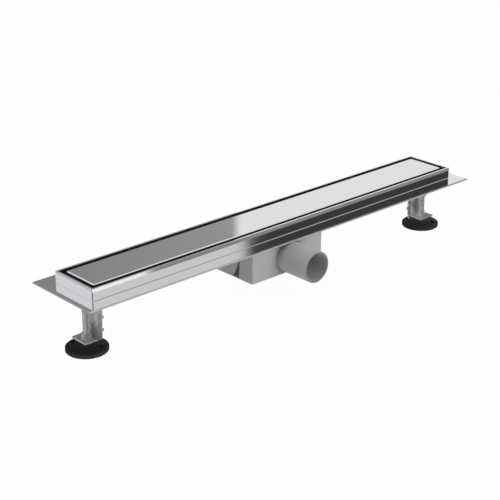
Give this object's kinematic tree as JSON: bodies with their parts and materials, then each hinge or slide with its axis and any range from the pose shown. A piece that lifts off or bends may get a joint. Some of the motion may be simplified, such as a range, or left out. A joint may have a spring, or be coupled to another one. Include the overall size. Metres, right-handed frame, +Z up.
{
  "type": "linear shower drain",
  "caption": "Long narrow stainless floor drain with a flush loose cover, a sealing flange, a moulded trap with a side outlet and height-adjustable feet.",
  "frame": {"origin": "middle of the cover's top face, level with the rim and the finished floor", "axes": "+X along the channel towards the end with the wide flange, +Y towards the wall side with the wide flange and away from the outlet, +Z up"},
  "size_m": [0.65, 0.154, 0.09],
  "materials": {
    "polished_steel": "mirror-polished stainless steel",
    "satin_steel": "satin stainless steel",
    "zinc_steel": "dull zinc-plated steel",
    "grey_plastic": "light grey moulded plastic, fine satin",
    "black_plastic": "black moulded plastic",
    "black_rubber": "soft black rubber"
  },
  "bodies": {
    "drain": {"tray": "polished_steel", "top_frame": "polished_steel", "cover_plate": "polished_steel", "cover_leg_1": "satin_steel", "cover_leg_2": "satin_steel", "cover_leg_3": "satin_steel", "cover_leg_4": "satin_steel", "cover_pads": "black_rubber", "strainer": "satin_steel", "trap_insert": "grey_plastic", "insert_seal": "black_rubber", "clamp_ring": "satin_steel", "clamp_screws": "satin_steel", "trap_gasket": "black_rubber", "trap_body": "grey_plastic", "left_bracket": "zinc_steel", "right_bracket": "zinc_steel", "bracket_nuts": "zinc_steel", "left_lock_nut": "zinc_steel", "right_lock_nut": "zinc_steel"},
    "left_foot_assembly": {"left_stud": "zinc_steel", "left_foot": "black_plastic"},
    "right_foot_assembly": {"right_stud": "zinc_steel", "right_foot": "black_plastic"}
  },
  "joints": [
    {"name": "left_foot_height", "type": "slide", "parent": "drain", "child": "left_foot_assembly", "axis": [0, 0, -1], "range_m": [0, 0.03]},
    {"name": "right_foot_height", "type": "slide", "parent": "drain", "child": "right_foot_assembly", "axis": [0, 0, -1], "range_m": [0, 0.03]}
  ]
}
